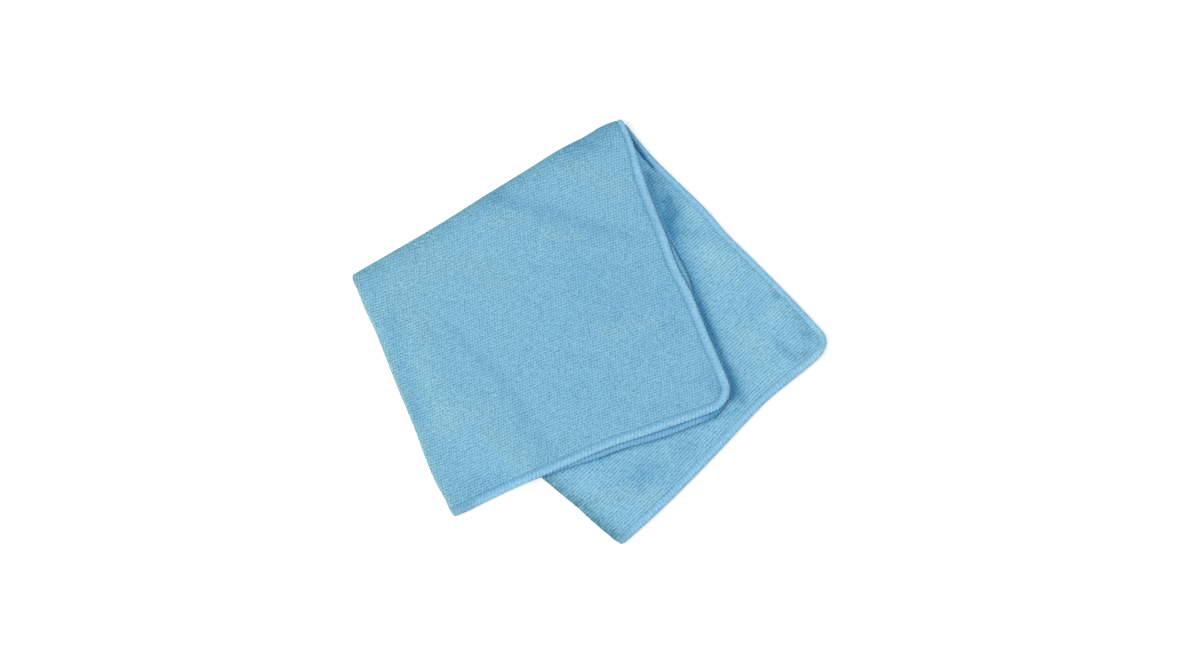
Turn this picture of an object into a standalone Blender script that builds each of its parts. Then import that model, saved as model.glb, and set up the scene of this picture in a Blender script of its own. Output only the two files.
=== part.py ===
"""Folded microfibre cloth.

One cut sheet of knitted microfibre, overlocked all round, folded in half and
then folded again along a slightly slanted line, so that the upper pair of
layers fans out from the lower pair.  It lies flat on a table, seen from above
with +Y up the page.  Units are metres, +Z is up, and the origin is the centre
of the cloth's outline at table height.

Flat cloth: the first fold is the line u = 0 and the side hems are u = +-HALF_WIDTH.
The second fold crosses it near v = 0.  Layers are counted from the top:
1 and 2 are the upper pair, 3 and 4 the lower pair.
"""

import math
from collections import namedtuple

import bpy
import numpy as np

MM = 0.001

# The flat cloth
HALF_WIDTH = 195 * MM
HALF_LENGTH = 200 * MM
CORNER_RADIUS = 15 * MM
SECOND_FOLD_SLANT = 38 * MM     # how far the second fold leaves square at the first fold

# The section through pile and hem
PILE_HALF = 1.1 * MM
HEM_HALF = 0.85 * MM
RIM_HALF = 0.4 * MM
GROOVE_HALF = 0.65 * MM
RIM_ROUND = 1.0 * MM
HEM_FLAT_END = 4.6 * MM
HEM_WIDTH = 5.5 * MM
PILE_START = 7.0 * MM

# The folds: radius of the sheet's middle
FIRST_FOLD_RADIUS = 1.8 * MM
SECOND_FOLD_RADIUS = 3.7 * MM

# Air between the layers
LEAST_GAP = 0.35 * MM
PAIR_GAP = 0.6 * MM
MIDDLE_GAP = 0.55 * MM
GAP_SOFTNESS = 0.12 * MM
FIRST_FOLD_LOFT = 0.9 * MM
FIRST_FOLD_LOFT_REACH = 13 * MM
SECOND_FOLD_LOFT = 1.0 * MM
SECOND_FOLD_LOFT_REACH = 16 * MM
HEM_SINK = PILE_HALF - HEM_HALF
HEM_SINK_REACH = 9 * MM
HEM_TUCK = 1.7 * MM             # the thinner hem draws in where the first fold ends
HEM_TUCK_REACH = 7.5 * MM

# The upper pair comes down to the table past the lower pair's folded edge
DROP_START = 1.5 * MM
DROP_REACH = 26 * MM

# Outline corners on the table, in millimetres from the origin
Corner = namedtuple("Corner", "x y")
CENTRE = Corner(-153.6, 35.4)
HEM_TURN = Corner(21.2, 136.6)
UPPER_FOLD_END = Corner(-89.6, -120.2)
UPPER_HEM_CORNER = Corner(92.7, -46.0)
LOWER_FOLD_END = Corner(20.1, -138.2)
LOWER_HEM_CORNER = Corner(158.9, -8.8)

# Each edge is a chord with a bow: millimetres to its left at a share of its length
Bow = namedtuple("Bow", "along left")
Edge = namedtuple("Edge", "start end bows")
SECOND_FOLD = Edge(CENTRE, HEM_TURN, (
    Bow(0.10, 0.3), Bow(0.34, 0.7), Bow(0.50, 1.8), Bow(0.65, 2.7), Bow(0.80, 3.4), Bow(0.93, 3.1)))
UPPER_FIRST_FOLD = Edge(CENTRE, UPPER_FOLD_END, (
    Bow(0.12, 0.1), Bow(0.30, 0.3), Bow(0.60, -0.2), Bow(0.85, -0.2)))
UPPER_SIDE_HEM = Edge(HEM_TURN, UPPER_HEM_CORNER, (
    Bow(0.08, 0.9), Bow(0.25, 0.0), Bow(0.36, 0.1), Bow(0.49, -2.0), Bow(0.61, 0.1), Bow(0.84, 0.7)))
UPPER_END_HEM = Edge(UPPER_FOLD_END, UPPER_HEM_CORNER, (
    Bow(0.12, 0.5), Bow(0.25, 1.8), Bow(0.42, 2.8), Bow(0.58, 3.4), Bow(0.74, 1.6), Bow(0.87, -0.3)))
LOWER_FIRST_FOLD = Edge(CENTRE, LOWER_FOLD_END, (
    Bow(0.25, -3.2), Bow(0.55, -5.8), Bow(0.75, -4.8), Bow(0.84, -3.0), Bow(0.93, -2.0)))
LOWER_SIDE_HEM = Edge(HEM_TURN, LOWER_HEM_CORNER, (
    Bow(0.14, -2.3), Bow(0.26, -1.9), Bow(0.41, -0.9), Bow(0.49, -1.7), Bow(0.62, -0.5), Bow(0.85, -0.1)))
LOWER_END_HEM = Edge(LOWER_FOLD_END, LOWER_HEM_CORNER, (
    Bow(0.12, -0.9), Bow(0.30, -0.2), Bow(0.50, 1.4), Bow(0.60, 2.8), Bow(0.70, 4.0), Bow(0.80, 2.3),
    Bow(0.90, 0.3)))

# Layer 2's hems beside layer 1's: millimetres further out at a share of the hem
Peek = namedtuple("Peek", "along out")
END_HEM_PEEK = (
    Peek(0.0, 0.0), Peek(0.30, 0.2), Peek(0.53, 3.4), Peek(0.64, 5.8), Peek(0.76, 5.4), Peek(0.88, 3.8),
    Peek(1.0, 4.6))
SIDE_HEM_PEEK = (
    Peek(0.0, -0.4), Peek(0.34, -0.4), Peek(0.42, 0.9), Peek(0.50, 4.2), Peek(0.57, 3.4), Peek(0.67, 0.3),
    Peek(0.80, -1.8), Peek(1.0, -4.0))
LOWEST_LAYER_RECESS = 1.2 * MM
PEEK_STARTS = 0.45

# Soft ridges and troughs, as straight strokes on the table in millimetres:
# the air under a layer grows by rise along the stroke and dies off over reach
Stroke = namedtuple("Stroke", "x0 y0 x1 y1 reach rise")
TOP_LAYER_STROKES = (
    Stroke(-60, 86, -32, 76, 12, -1.3),
    Stroke(-32, 76, -11, 71, 11, -1.4),
    Stroke(-11, 71, 22, 63, 12, -1.0),
    Stroke(-70, 60, -20, 55, 17, 1.3),
    Stroke(-10, 100, 14, 96, 15, 0.9),
    Stroke(-94, 0, -74, -17, 13, -0.8),
    Stroke(-74, -17, -53, -40, 13, -1.1),
    Stroke(-53, -40, -28, -78, 13, -0.9),
    Stroke(-108, 0, -92, -62, 13, 0.7),
    Stroke(-60, 5, 0, 15, 22, 0.9),
    Stroke(20, 20, 60, -10, 20, 0.9),
    Stroke(-20, -40, 30, -45, 18, 0.8),
)
MIDDLE_STROKES = (
    Stroke(58, 52, 90, -30, 13, 1.5),
    Stroke(86, -34, 92, -44, 12, 1.1),
    Stroke(26, 120, 40, 92, 12, 0.8),
    Stroke(15, -80, 70, -55, 12, 0.7),
)
LOWER_PAIR_STROKES = (
    Stroke(72, 50, 88, 39, 12, 0.9),
    Stroke(112, 14, 136, -6, 12, 1.1),
    Stroke(128, -14, 142, -18, 11, 1.0),
    Stroke(100, 24, 62, -4, 14, -0.7),
    Stroke(36, -93, 62, -76, 12, -0.7),
    Stroke(0, -104, 40, -118, 14, 0.8),
    Stroke(46, 92, 56, 62, 12, -0.7),
)

# Grid rows: distances from a fold, distances from a hem, and the rows between
FIRST_FOLD_ROWS = (0.95, 1.9, 2.85, 5.0, 11.0)
SECOND_FOLD_ROWS = (1.3, 2.7, 4.2, 6.0, 8.7, 15.0)
HEM_ROWS = (7.0, 5.5, 4.6, 1.0, 0.0)
CORNER_ROW = CORNER_RADIUS / MM
BETWEEN_ACROSS = 14
BETWEEN_ALONG = 14

CLOTH_BLUE = (0.165, 0.445, 0.62, 1.0)
CLOTH_ROUGHNESS = 0.95
LEVEL_SNAP = 0.03 * MM
PROBE = 0.05 * MM


def smooth_step(t):
    t = np.clip(t, 0.0, 1.0)
    return t * t * (3 - 2 * t)


def smooth_rows(places, values, at):
    """A smooth curve through a few rows, with slopes taken from the neighbours."""
    places = np.asarray(places, float)
    values = np.asarray(values, float)
    slopes = np.gradient(values, places)
    k = np.clip(np.searchsorted(places, at) - 1, 0, len(places) - 2)
    span = places[k + 1] - places[k]
    t = (at - places[k]) / span
    rise = values[k + 1] - values[k]
    ease = t * t * (3 - 2 * t)
    start_pull = t * (1 - t) ** 2 * slopes[k] * span
    end_pull = t * t * (t - 1) * slopes[k + 1] * span
    return values[k] + rise * ease + start_pull + end_pull


def bow_of(edge, along):
    places = [0.0] + [row.along for row in edge.bows] + [1.0]
    values = [0.0] + [row.left for row in edge.bows] + [0.0]
    return smooth_rows(places, values, np.clip(along, 0.0, 1.0)) * MM


def chord(edge):
    start = np.array(edge.start) * MM
    run = np.array(edge.end) * MM - start
    length = math.hypot(*run)
    return start, run, length


def edge_point(edge, along):
    """A point on the edge at a share of its chord, as an array of x and y."""
    start, run, length = chord(edge)
    left = np.array((-run[1], run[0])) / length
    along = np.asarray(along, float)
    return start + along[..., None] * run + bow_of(edge, along)[..., None] * left


def left_of(edge, x, y):
    """How far a point on the table lies to the left of an edge."""
    start, run, length = chord(edge)
    dx = x - start[0]
    dy = y - start[1]
    along = (dx * run[0] + dy * run[1]) / length ** 2
    return (dy * run[0] - dx * run[1]) / length - bow_of(edge, along)


def patch(fold, end_hem, first_fold, side_hem, across, along):
    """The sheet stretched between four edges; across runs from the first fold
    to the side hem, along from the second fold to the end hem."""
    s = across[..., None]
    t = along[..., None]
    between_rows = (1 - t) * edge_point(fold, across) + t * edge_point(end_hem, across)
    between_sides = (1 - s) * edge_point(first_fold, along) + s * edge_point(side_hem, along)
    corner = [np.array(c) * MM for c in (fold.start, fold.end, end_hem.start, end_hem.end)]
    corners = (1 - t) * ((1 - s) * corner[0] + s * corner[1]) + t * ((1 - s) * corner[2] + s * corner[3])
    return between_rows + between_sides - corners


def stroke_rise(strokes, x, y):
    total = np.zeros_like(x)
    for stroke in strokes:
        x0, y0, x1, y1 = (value * MM for value in stroke[:4])
        run_x = x1 - x0
        run_y = y1 - y0
        share = np.clip(((x - x0) * run_x + (y - y0) * run_y) / (run_x ** 2 + run_y ** 2), 0, 1)
        away = np.hypot(x - x0 - share * run_x, y - y0 - share * run_y)
        total += stroke.rise * MM * np.exp(-(away / (stroke.reach * MM)) ** 2)
    return total


def at_least(gap, least):
    """The gap, eased so that it never falls below the least one."""
    return least + GAP_SOFTNESS * np.logaddexp(0.0, (gap - least) / GAP_SOFTNESS)


def loft(height, reach, away):
    return height * np.exp(-(np.maximum(away, 0.0) / reach) ** 2)


def layer_heights(x, y):
    """Heights of the middle of layers 1 to 4 over a point on the table."""
    from_lower_fold = left_of(LOWER_FIRST_FOLD, x, y)
    from_upper_fold = left_of(UPPER_FIRST_FOLD, x, y)
    from_second_fold = -left_of(SECOND_FOLD, x, y)
    turn_loft = loft(SECOND_FOLD_LOFT, SECOND_FOLD_LOFT_REACH, from_second_fold)
    lower_gap = (PAIR_GAP + stroke_rise(LOWER_PAIR_STROKES, x, y)
                 + loft(FIRST_FOLD_LOFT, FIRST_FOLD_LOFT_REACH, from_lower_fold) + 0.4 * turn_loft)
    middle_gap = MIDDLE_GAP + stroke_rise(MIDDLE_STROKES, x, y) + turn_loft
    upper_gap = (PAIR_GAP + stroke_rise(TOP_LAYER_STROKES, x, y)
                 + loft(FIRST_FOLD_LOFT, FIRST_FOLD_LOFT_REACH, from_upper_fold) + 0.4 * turn_loft)
    lower_gap = at_least(lower_gap, LEAST_GAP)
    middle_gap = at_least(middle_gap, LEAST_GAP)
    upper_gap = at_least(upper_gap, LEAST_GAP)
    thick = 2 * PILE_HALF
    fourth = np.full_like(x, PILE_HALF)
    third = fourth + thick + lower_gap
    carried = smooth_step(1 + (from_lower_fold + DROP_START) / DROP_REACH)
    second = PILE_HALF + carried * (third + middle_gap + PILE_HALF)
    first = second + thick + upper_gap
    return first, second, third, fourth


def turn(distance, radius):
    """How far in from the crest of a fold the sheet has come after a distance along it."""
    quarter = radius * math.pi / 2
    bent = radius * (1 - np.cos(np.minimum(distance, quarter) / radius))
    return bent + np.maximum(distance - quarter, 0.0)


def fold_row(u):
    """Where the second fold crosses the flat cloth."""
    return SECOND_FOLD_SLANT * (1 - np.abs(u) / HALF_WIDTH)


def hem_distance(u, v):
    """Distance from a point on the flat cloth to its edge, with rounded corners."""
    over_u = np.abs(u) - (HALF_WIDTH - CORNER_RADIUS)
    over_v = np.abs(v) - (HALF_LENGTH - CORNER_RADIUS)
    straight = CORNER_RADIUS - np.maximum(over_u, over_v)
    rounded = CORNER_RADIUS - np.hypot(over_u, over_v)
    return np.where((over_u > 0) & (over_v > 0), rounded, straight)


def peek_shift(peeks, edge, share, ramp):
    """A shift out past an edge's right-hand side, fading into the cloth."""
    _, run, length = chord(edge)
    right = np.array((run[1], -run[0])) / length
    out = smooth_rows([row.along for row in peeks], [row.out for row in peeks], share) * MM
    fade = smooth_step((ramp - PEEK_STARTS) / (1 - PEEK_STARTS))
    return (out * fade)[..., None] * right


def lie(u, v):
    """Place of the sheet's middle for points of the flat cloth: x, y and z."""
    from_first = np.abs(u)
    from_second = v - fold_row(u)
    side = np.sin(np.clip(u / FIRST_FOLD_RADIUS, -math.pi / 2, math.pi / 2))
    radius = SECOND_FOLD_RADIUS + side * FIRST_FOLD_RADIUS
    pair = np.sin(np.clip(from_second / radius, -math.pi / 2, math.pi / 2))
    inner_step = FIRST_FOLD_RADIUS * (1 - side)

    from_hem = hem_distance(u, v)
    tuck = HEM_TUCK * np.exp(-(from_first / HEM_TUCK_REACH) ** 2) * (1 - smooth_step(from_hem / PILE_START))
    across = PILE_HALF + tuck + turn(from_first, FIRST_FOLD_RADIUS)
    across = across / (PILE_HALF + turn(HALF_WIDTH, FIRST_FOLD_RADIUS))
    inward = PILE_HALF + inner_step + turn(np.abs(from_second), radius)
    upper_length = PILE_HALF + inner_step + turn(HALF_LENGTH - fold_row(u), radius)
    lower_length = PILE_HALF + inner_step + turn(HALF_LENGTH + fold_row(u), radius)
    upper_along = np.minimum(inward / upper_length, 1.0)
    lower_along = np.minimum(inward / lower_length, 1.0)

    upper = patch(SECOND_FOLD, UPPER_END_HEM, UPPER_FIRST_FOLD, UPPER_SIDE_HEM, across, upper_along)
    lower = patch(SECOND_FOLD, LOWER_END_HEM, LOWER_FIRST_FOLD, LOWER_SIDE_HEM, across, lower_along)
    inner = ((1 - side) / 2)[..., None]
    upper += inner * peek_shift(END_HEM_PEEK, UPPER_END_HEM, across, upper_along)
    upper -= inner * peek_shift(SIDE_HEM_PEEK, UPPER_SIDE_HEM, upper_along, across)
    recess = LOWEST_LAYER_RECESS * (1 - inner)
    for edge, share, sign in ((LOWER_END_HEM, lower_along, 1), (LOWER_SIDE_HEM, across, -1)):
        _, run, length = chord(edge)
        inside = sign * np.array((-run[1], run[0])) / length
        lower += recess * smooth_step((share - 0.5) / 0.5)[..., None] * inside
    upper_share = ((1 + pair) / 2)[..., None]
    plan = upper_share * upper + (1 - upper_share) * lower

    first, second, third, fourth = layer_heights(plan[..., 0], plan[..., 1])
    sink = HEM_SINK * (1 - smooth_step(from_hem / HEM_SINK_REACH))
    first = first - 3 * sink
    second = second - sink
    third = third - 3 * sink
    fourth = fourth - sink
    middle = (first + second + third + fourth) / 4
    pair_half = (first + second - third - fourth) / 4
    layer_half = ((1 + pair) * (first - second) + (1 - pair) * (third - fourth)) / 4
    height = middle + pair * (pair_half + side * layer_half)
    return np.concatenate((plan, height[..., None]), axis=-1)


def facing(u, v):
    """Unit normals out of the cloth's front face."""
    across = lie(u + PROBE, v) - lie(u - PROBE, v)
    along = lie(u, v + PROBE) - lie(u, v - PROBE)
    normal = np.cross(along, across)
    return normal / np.linalg.norm(normal, axis=-1, keepdims=True)


def half_thickness(from_edge):
    """Half the sheet's thickness, from the rounded rim over hem and groove to the pile."""
    places = (0.0, RIM_ROUND, HEM_FLAT_END, HEM_WIDTH, PILE_START)
    halves = (RIM_HALF, HEM_HALF, HEM_HALF, GROOVE_HALF, PILE_HALF)
    return np.interp(from_edge, places, halves)


def round_corner(u, v):
    """Carry a square corner's grid onto a round one, keeping distances from the hem."""
    over_u = (np.abs(u) - (HALF_WIDTH - CORNER_RADIUS)) / CORNER_RADIUS
    over_v = (np.abs(v) - (HALF_LENGTH - CORNER_RADIUS)) / CORNER_RADIUS
    in_corner = (over_u > 0) & (over_v > 0)
    p = np.where(in_corner, over_u, 1.0)
    q = np.where(in_corner, over_v, 1.0)
    reach = np.maximum(p, q)
    angle = np.where(p >= q, math.pi / 4 * q / p, math.pi / 2 - math.pi / 4 * p / q)
    round_u = HALF_WIDTH - CORNER_RADIUS + CORNER_RADIUS * reach * np.cos(angle)
    round_v = HALF_LENGTH - CORNER_RADIUS + CORNER_RADIUS * reach * np.sin(angle)
    u = np.where(in_corner, np.sign(u) * round_u, u)
    v = np.where(in_corner, np.sign(v) * round_v, v)
    return u, v


def rows_between(length, fold_rows, between):
    """Grid rows from a fold to the hem that is length away."""
    hem_rows = [length - row * MM for row in (CORNER_ROW,) + HEM_ROWS]
    near = [row * MM for row in fold_rows]
    step = (hem_rows[0] - near[-1]) / (between + 1)
    middle = [near[-1] + step * (k + 1) for k in range(between)]
    return near + middle + hem_rows


def flat_grid():
    """Points of the flat cloth, close together at folds and hems."""
    half = rows_between(HALF_WIDTH, FIRST_FOLD_ROWS, BETWEEN_ACROSS)
    columns = [-row for row in reversed(half)] + [0.0] + half
    u_rows = []
    v_rows = []
    for u in columns:
        fold = float(fold_row(u))
        upper = rows_between(HALF_LENGTH - fold, SECOND_FOLD_ROWS, BETWEEN_ALONG)
        lower = rows_between(HALF_LENGTH + fold, SECOND_FOLD_ROWS, BETWEEN_ALONG)
        line = [fold - row for row in reversed(lower)] + [fold] + [fold + row for row in upper]
        u_rows.append([u] * len(line))
        v_rows.append(line)
    return round_corner(np.array(u_rows), np.array(v_rows))


def truer_diagonal(u, v, middle):
    """Whether a quad's first diagonal runs closer to the real surface than its second."""
    def centres(grid):
        return (grid[:-1, :-1] + grid[:-1, 1:] + grid[1:, 1:] + grid[1:, :-1]) / 4

    real = lie(centres(u), centres(v))
    first = np.linalg.norm((middle[:-1, :-1] + middle[1:, 1:]) / 2 - real, axis=-1)
    second = np.linalg.norm((middle[:-1, 1:] + middle[1:, :-1]) / 2 - real, axis=-1)
    return (first <= second).ravel()


def face_triangles(grid, first_diagonal):
    """Two triangles for each quad of a grid of point numbers."""
    a, b, c, d = (part.ravel() for part in (grid[:-1, :-1], grid[:-1, 1:], grid[1:, 1:], grid[1:, :-1]))
    one = np.where(first_diagonal, (a, b, c), (a, b, d))
    two = np.where(first_diagonal, (a, c, d), (b, c, d))
    return np.concatenate((one.T, two.T))


def rim_triangles(front, back):
    """The narrow face between the front's border and the back's."""
    def border(grid):
        return np.concatenate((grid[:-1, 0], grid[-1, :-1], grid[:0:-1, -1], grid[0, :0:-1]))

    near = border(front)
    far = border(back)
    near_next = np.roll(near, -1)
    far_next = np.roll(far, -1)
    one = np.stack((near, near_next, far_next), axis=1)
    two = np.stack((near, far_next, far), axis=1)
    return np.concatenate((one, two))


def sheet_mesh():
    """Front and back faces of the sheet, joined round the rim."""
    u, v = flat_grid()
    middle = lie(u, v)
    out = facing(u, v) * half_thickness(hem_distance(u, v))[..., None]
    points = np.stack((middle + out, middle - out))
    level = points[..., 2]
    level[level < LEVEL_SNAP] = 0.0
    front, back = np.arange(points[..., 0].size).reshape(2, *u.shape)
    diagonal = truer_diagonal(u, v, middle)
    faces = np.concatenate((
        face_triangles(front, diagonal),
        face_triangles(back, diagonal)[:, ::-1],
        rim_triangles(front, back),
    ))
    return points.reshape(-1, 3), faces


def cloth_material():
    material = bpy.data.materials.new("blue microfibre")
    material.use_nodes = True
    shader = material.node_tree.nodes["Principled BSDF"]
    shader.inputs["Base Color"].default_value = CLOTH_BLUE
    shader.inputs["Roughness"].default_value = CLOTH_ROUGHNESS
    shader.inputs["Metallic"].default_value = 0.0
    material.diffuse_color = CLOTH_BLUE
    return material


def main():
    for old in list(bpy.data.objects):
        bpy.data.objects.remove(old, do_unlink=True)
    points, faces = sheet_mesh()
    mesh = bpy.data.meshes.new("cloth")
    mesh.from_pydata(points.tolist(), [], faces.tolist())
    mesh.validate()
    mesh.materials.append(cloth_material())
    mesh.shade_smooth()
    cloth = bpy.data.objects.new("cloth", mesh)
    bpy.context.scene.collection.objects.link(cloth)


main()
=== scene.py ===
"""Looks of a folded microfibre cloth.

One overlocked square of looped-pile knit, folded twice, lying on a table.  The
sheet follows the same folds as its solid: a flat cloth, measured u across and
v along, is laid onto the table by lie().  Units are metres.
"""

import math
from collections import namedtuple

import bpy
import numpy as np
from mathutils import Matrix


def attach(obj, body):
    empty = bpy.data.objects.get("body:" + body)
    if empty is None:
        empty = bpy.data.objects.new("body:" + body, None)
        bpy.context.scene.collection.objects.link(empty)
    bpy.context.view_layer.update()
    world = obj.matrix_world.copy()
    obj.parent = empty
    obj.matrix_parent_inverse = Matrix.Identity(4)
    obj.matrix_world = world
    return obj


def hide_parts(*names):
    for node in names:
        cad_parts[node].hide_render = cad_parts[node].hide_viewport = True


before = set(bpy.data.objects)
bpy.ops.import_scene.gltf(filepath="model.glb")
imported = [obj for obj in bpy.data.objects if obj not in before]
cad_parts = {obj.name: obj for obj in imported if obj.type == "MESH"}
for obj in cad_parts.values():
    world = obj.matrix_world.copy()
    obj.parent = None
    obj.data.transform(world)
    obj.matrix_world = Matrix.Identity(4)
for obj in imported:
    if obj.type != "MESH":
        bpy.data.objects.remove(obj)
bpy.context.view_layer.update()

MM = 0.001


def chart(kind, *rows):
    """Rows of plain numbers with named columns."""
    return tuple(kind(*row) for row in rows)


# The flat cloth
HALF_WIDTH = 195 * MM
HALF_LENGTH = 200 * MM
CORNER_RADIUS = 15 * MM
SECOND_FOLD_SLANT = 38 * MM     # how far the second fold leaves square at the first fold

# The section through pile and hem
PILE_HALF = 1.1 * MM
GROUND_HALF = 0.55 * MM         # the knitted ground under the loops
HEM_INSET = 0.95 * MM           # the hem's threads pull the cut edge in

# How far the overlocked hem reaches in from the flat edge, on each side of the cloth
UPPER_SIDE_REACH = 6.3 * MM
UPPER_END_REACH = 6.0 * MM
LOWER_SIDE_REACH = 5.0 * MM
LOWER_END_REACH = 6.0 * MM
TURN_REACH = 4.3 * MM           # where the side hem turns over at the second fold
TURN_HALF = 20 * MM             # the turned stretch on each side of the fold, and how far
TURN_EASE = 25 * MM             # its reach takes to come back to the rest of the hem's

# The folds: radius of the sheet's middle
FIRST_FOLD_RADIUS = 1.8 * MM
SECOND_FOLD_RADIUS = 3.7 * MM

# Air between the layers
LEAST_GAP = 0.35 * MM
PAIR_GAP = 0.6 * MM
MIDDLE_GAP = 0.55 * MM
GAP_SOFTNESS = 0.12 * MM        # how gently a gap comes down to the least one
TURN_LOFT_SHARE = 0.4           # of the second fold's loft, in the air inside each pair
Loft = namedtuple("Loft", "rise reach")
FIRST_FOLD_LOFT = Loft(0.9 * MM, 13 * MM)
SECOND_FOLD_LOFT = Loft(1.0 * MM, 16 * MM)
HEM_SINK = 0.25 * MM            # layers lie closer together at the hem
HEM_SINK_REACH = 9 * MM
UPPER_LAYER_SINK = 3            # a pair's upper layer sinks this many times as far as its lower one
HEM_TUCK = 1.7 * MM             # the thinner hem draws in where the first fold ends
HEM_TUCK_REACH = 7.5 * MM       # along the hem
HEM_TUCK_DEPTH = 7.0 * MM       # and in from the cut edge

# The upper pair comes down to the table past the lower pair's folded edge
DROP_START = 1.5 * MM
DROP_REACH = 26 * MM

# Small unevenness of the air inside each pair, in millimetres
Unevenness = namedtuple("Unevenness", "size height seed")
LOWER_UNEVENNESS = chart(Unevenness, (11, 0.15, 3), (4.5, 0.04, 4))
UPPER_UNEVENNESS = chart(Unevenness, (12, 0.15, 1), (4.5, 0.04, 2))

# Outline corners on the table, in millimetres from the origin
Corner = namedtuple("Corner", "x y")
CENTRE = Corner(-153.6, 35.4)
HEM_TURN = Corner(21.2, 136.6)
UPPER_FOLD_END = Corner(-88.6, -120.7)
UPPER_HEM_CORNER = Corner(94.2, -46.6)
LOWER_FOLD_END = Corner(19.9, -139.1)
LOWER_HEM_CORNER = Corner(159.8, -8.8)

# Each edge is a chord with a bow: millimetres to its left at a share of its length
Bow = namedtuple("Bow", "along left")
Edge = namedtuple("Edge", "start end bows")
SECOND_FOLD = Edge(CENTRE, HEM_TURN, chart(Bow,
    (0.03, 0), (0.1, 0), (0.34, 0.25), (0.5, 1.5), (0.65, 2.3), (0.79, 3.2),
    (0.87, 2.3), (0.93, 2.6)))
UPPER_FIRST_FOLD = Edge(CENTRE, UPPER_FOLD_END, chart(Bow,
    (0.06, 0.6), (0.14, 0.35), (0.22, 1), (0.3, 0.75), (0.44, 0.05), (0.6, 0),
    (0.85, -0.8), (0.94, 0.65)))
UPPER_SIDE_HEM = Edge(HEM_TURN, UPPER_HEM_CORNER, chart(Bow,
    (0.08, 0.6), (0.16, -0.4), (0.25, -1.3), (0.34, -1.4), (0.41, -1.4), (0.49, -2.1),
    (0.61, -0.1), (0.75, 0.15), (0.84, 0.65), (0.9, 0.95)))
UPPER_END_HEM = Edge(UPPER_FOLD_END, UPPER_HEM_CORNER, chart(Bow,
    (0.05, 0), (0.12, 1), (0.25, 2.6), (0.42, 3.4), (0.58, 3.8), (0.69, 2.3),
    (0.78, 1.3), (0.87, 0.4)))
LOWER_FIRST_FOLD = Edge(CENTRE, LOWER_FOLD_END, chart(Bow,
    (0.25, -3), (0.55, -5.4), (0.75, -4.2), (0.84, -2), (0.93, -0.75), (0.965, 0.1)))
LOWER_SIDE_HEM = Edge(HEM_TURN, LOWER_HEM_CORNER, chart(Bow,
    (0.14, -2.4), (0.26, -1.9), (0.41, -1), (0.49, -1.9), (0.62, -1.1), (0.85, -0.5),
    (0.95, -0.7)))
LOWER_END_HEM = Edge(LOWER_FOLD_END, LOWER_HEM_CORNER, chart(Bow,
    (0.12, -0.6), (0.3, -0.15), (0.5, 1.95), (0.6, 3.3), (0.7, 4.1), (0.8, 2.9),
    (0.9, 1.6), (0.96, 1.6)))

# Layer 2's hems beside layer 1's: millimetres further out at a share of the hem
Peek = namedtuple("Peek", "along out")
END_HEM_PEEK = chart(Peek,
    (0, 0), (0.3, 0.2), (0.43, 2), (0.53, 3.8), (0.61, 3.7), (0.69, 4.3),
    (0.78, 4.6), (0.85, 4), (1, 3.8))
SIDE_HEM_PEEK = chart(Peek,
    (0, -0.4), (0.34, -0.4), (0.42, 0.9), (0.5, 3.3), (0.56, 3.1), (0.62, 0.6), (0.67, -0.2),
    (0.8, -1.8), (1, -4))
PEEK_STARTS = 0.45              # the share of the way to a hem from which a layer shifts
LOWEST_LAYER_RECESS = 1.2 * MM

# Soft ridges and troughs, as straight strokes on the table in millimetres:
# the air under a layer grows by rise along the stroke and dies off over reach
Stroke = namedtuple("Stroke", "x0 y0 x1 y1 reach rise")
TOP_LAYER_STROKES = chart(Stroke,
    (-60, 86, -32, 76, 8, -1.3),
    (-32, 76, -11, 71, 7, -1.5),
    (-11, 71, 22, 63, 8, -1.1),
    (-70, 60, -20, 55, 16, 1.3),
    (-10, 100, 14, 96, 13, 0.9),
    (-94, 0, -74, -17, 9, -0.8),
    (-74, -17, -53, -40, 9, -1.1),
    (-53, -40, -28, -78, 9, -0.9),
    (-108, 0, -92, -62, 11, 0.6),
    (-122, 2, -108, -56, 8, -0.8),
    (-60, 5, 0, 15, 22, 0.9),
    (20, 20, 60, -10, 20, 0.9),
    (-20, -40, 30, -45, 18, 0.8),
)
MIDDLE_STROKES = chart(Stroke,
    (58, 52, 90, -30, 12, 1.5),
    (86, -34, 92, -44, 10, 1.2),
    (26, 120, 40, 92, 9, 0.9),
    (15, -80, 70, -55, 10, 0.8),
)
LOWER_PAIR_STROKES = chart(Stroke,
    (72, 50, 88, 39, 8, 1),
    (112, 14, 136, -6, 10, 1.2),
    (122, -13, 132, -24, 5, 1.1),
    (130, -1, 134, -14, 4, 0.9),
    (139, -1, 139, -12, 3.5, -0.7),
    (146, -12, 149, -18, 5, 0.9),
    (100, 24, 62, -4, 13, -0.8),
    (36, -93, 62, -76, 8, -0.9),
    (0, -104, 40, -118, 14, 0.9),
    (46, 92, 56, 62, 9, -0.8),
)

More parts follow.
